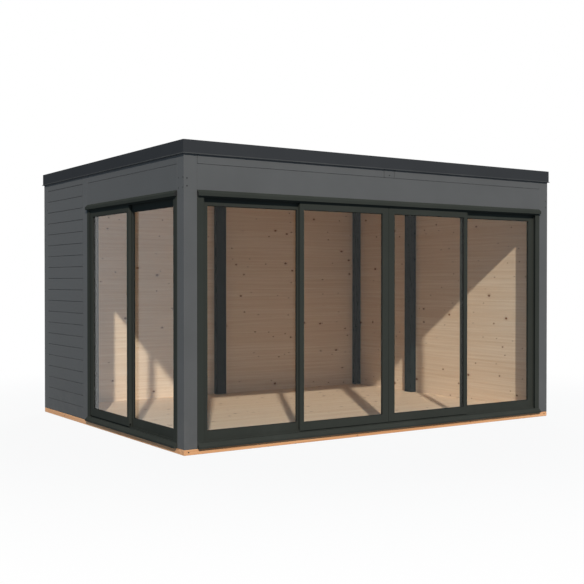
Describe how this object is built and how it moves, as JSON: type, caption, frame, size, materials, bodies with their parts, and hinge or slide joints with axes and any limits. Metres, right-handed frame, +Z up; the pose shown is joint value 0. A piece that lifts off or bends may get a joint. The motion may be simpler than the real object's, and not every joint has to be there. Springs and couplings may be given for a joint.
{
  "type": "garden office pod",
  "caption": "Flat-roofed garden office pod of grey boards with dark-framed sliding glass doors on the front and one side, pine inside and dark metal roof trim.",
  "frame": {"origin": "on the ground under the middle of the house, the middle of its four corner posts", "axes": "+X to the right along the long front, +Y from the front to the back, +Z up"},
  "size_m": [4.247, 3.247, 2.5204],
  "materials": {
    "grey_paint": "matt grey paint on smooth softwood",
    "pine": "bare planed softwood",
    "bearer_pine": "treated softwood",
    "dark_trim": "satin powder coat",
    "dark_frame": "satin powder coat",
    "glass": "clear float glass",
    "membrane": "matt roofing sheet"
  },
  "bodies": {
    "house": {"post_front_left": "grey_paint", "post_front_right": "grey_paint", "post_rear_left": "grey_paint", "post_rear_right": "grey_paint", "post_left_mid": "grey_paint", "post_right_mid": "grey_paint", "post_rear_mid": "grey_paint", "wall_left": "grey_paint", "wall_rear_left": "grey_paint", "wall_rear_right": "grey_paint", "wall_right_front": "grey_paint", "wall_right_rear": "grey_paint", "beam_front": "grey_paint", "rim_front": "grey_paint", "rim_block": "grey_paint", "beam_left": "grey_paint", "rim_left": "grey_paint", "floor": "pine", "ledger": "pine", "roof_joists": "pine", "roof_deck": "pine", "bearer_front": "bearer_pine", "bearer_rear": "bearer_pine", "cross_bearers": "bearer_pine", "trim_front": "dark_trim", "trim_rear": "dark_trim", "trim_left": "dark_trim", "trim_right": "dark_trim", "front_head": "dark_frame", "front_sill": "dark_frame", "front_jambs": "dark_frame", "front_fixed_left": "dark_frame", "front_fixed_right": "dark_frame", "side_head": "dark_frame", "side_sill": "dark_frame", "side_jambs": "dark_frame", "side_fixed": "dark_frame", "front_fixed_left_glass": "glass", "front_fixed_right_glass": "glass", "side_fixed_glass": "glass", "roof_membrane": "membrane"},
    "front_left_leaf": {"front_slide_left": "dark_frame", "front_slide_left_glass": "glass"},
    "front_right_leaf": {"front_slide_right": "dark_frame", "front_slide_right_glass": "glass"},
    "side_leaf": {"side_slide": "dark_frame", "side_slide_glass": "glass"}
  },
  "joints": [
    {"name": "front_left_slide", "type": "slide", "parent": "house", "child": "front_left_leaf", "axis": [-1, 0, 0], "range_m": [0, 0.925]},
    {"name": "front_right_slide", "type": "slide", "parent": "house", "child": "front_right_leaf", "axis": [1, 0, 0], "range_m": [0, 0.925]},
    {"name": "side_slide", "type": "slide", "parent": "house", "child": "side_leaf", "axis": [0, -1, 0], "range_m": [0, 0.865]}
  ]
}
